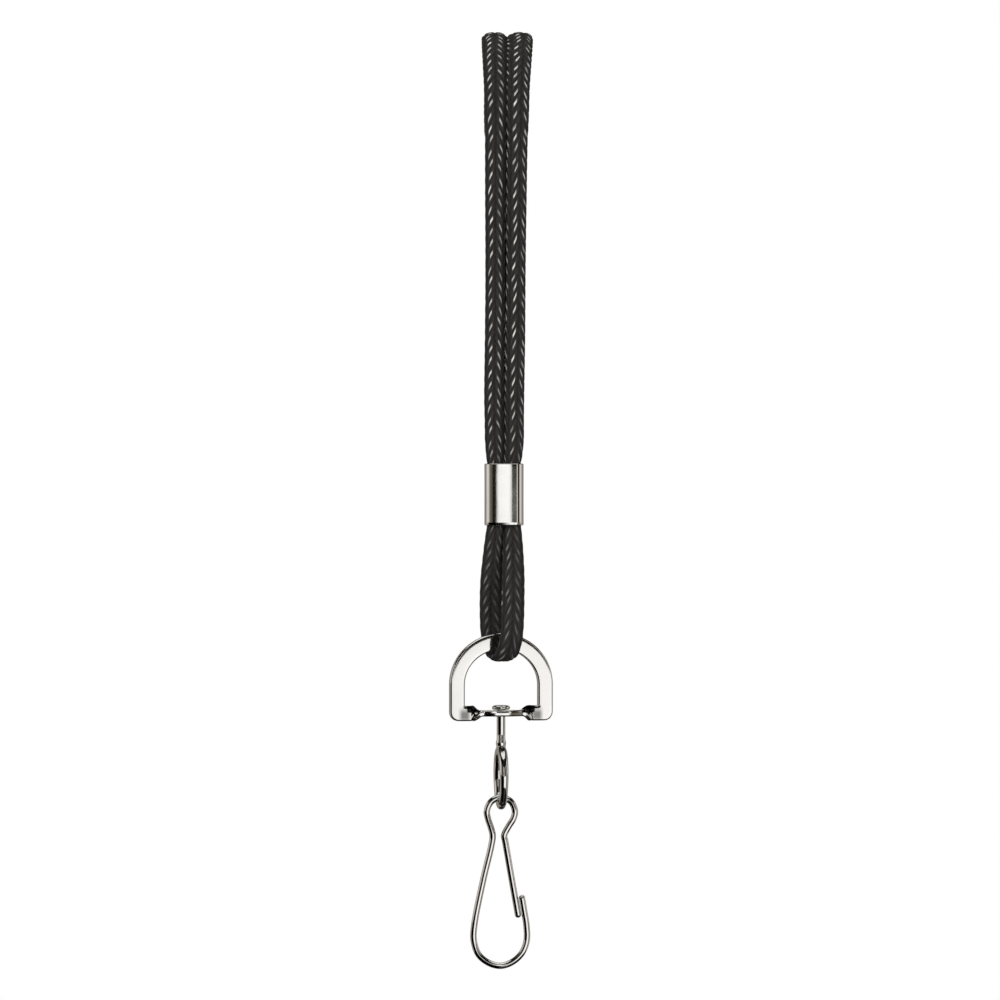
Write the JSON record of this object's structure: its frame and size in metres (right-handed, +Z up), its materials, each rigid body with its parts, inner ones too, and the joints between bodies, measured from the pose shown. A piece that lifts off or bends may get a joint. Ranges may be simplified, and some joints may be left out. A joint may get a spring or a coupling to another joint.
{
  "type": "neck lanyard",
  "caption": "Flat-lying braided neck cord folded over at the top, closed by an oval metal crimp, with a D-ring, a swivel and a spring-wire snap hook below.",
  "frame": {"origin": "under the fold of the neck loop, where a neck or a peg holds the lanyard up", "axes": "+Z up along the hanging strands, -Y towards the viewer, +X to the viewer's right across the D-ring"},
  "size_m": [0.0156, 0.0278, 0.1405],
  "materials": {
    "cord": "matte braided polyester, charcoal black",
    "tie": "matte black strap",
    "nickel": "polished nickel plate"
  },
  "bodies": {
    "strap": {"neck_hank": "cord", "hank_tie": "tie", "neck_strand_left": "cord", "neck_strand_right": "cord", "crimp_ferrule": "nickel", "crimped_cord_left": "cord", "crimped_cord_right": "cord", "ring_loop": "cord"},
    "ring": {"d_ring": "nickel"},
    "swivel": {"swivel_eye": "nickel"},
    "hook": {"snap_hook": "nickel"},
    "gate": {"gate_arm": "nickel"}
  },
  "joints": [
    {"name": "ring_swing", "type": "hinge", "parent": "strap", "child": "ring", "pos_m": [0, -0.007, -0.0894], "axis": [0.9563, 0.2924, 0], "range_deg": [-60, 60]},
    {"name": "swivel_spin", "type": "hinge", "parent": "ring", "child": "swivel", "pos_m": [0, -0.007, -0.1], "axis": [0, 0, 1], "continuous": true},
    {"name": "hook_swing", "type": "hinge", "parent": "swivel", "child": "hook", "pos_m": [0, -0.007, -0.1128], "axis": [1, 0, 0], "range_deg": [-90, 90]},
    {"name": "gate_flex", "type": "hinge", "parent": "hook", "child": "gate", "pos_m": [0.00048, -0.007, -0.1186], "axis": [0, 1, 0], "range_deg": [0, 18], "stiffness_Nm_per_rad": 0.05, "springref_deg": -8.59}
  ]
}
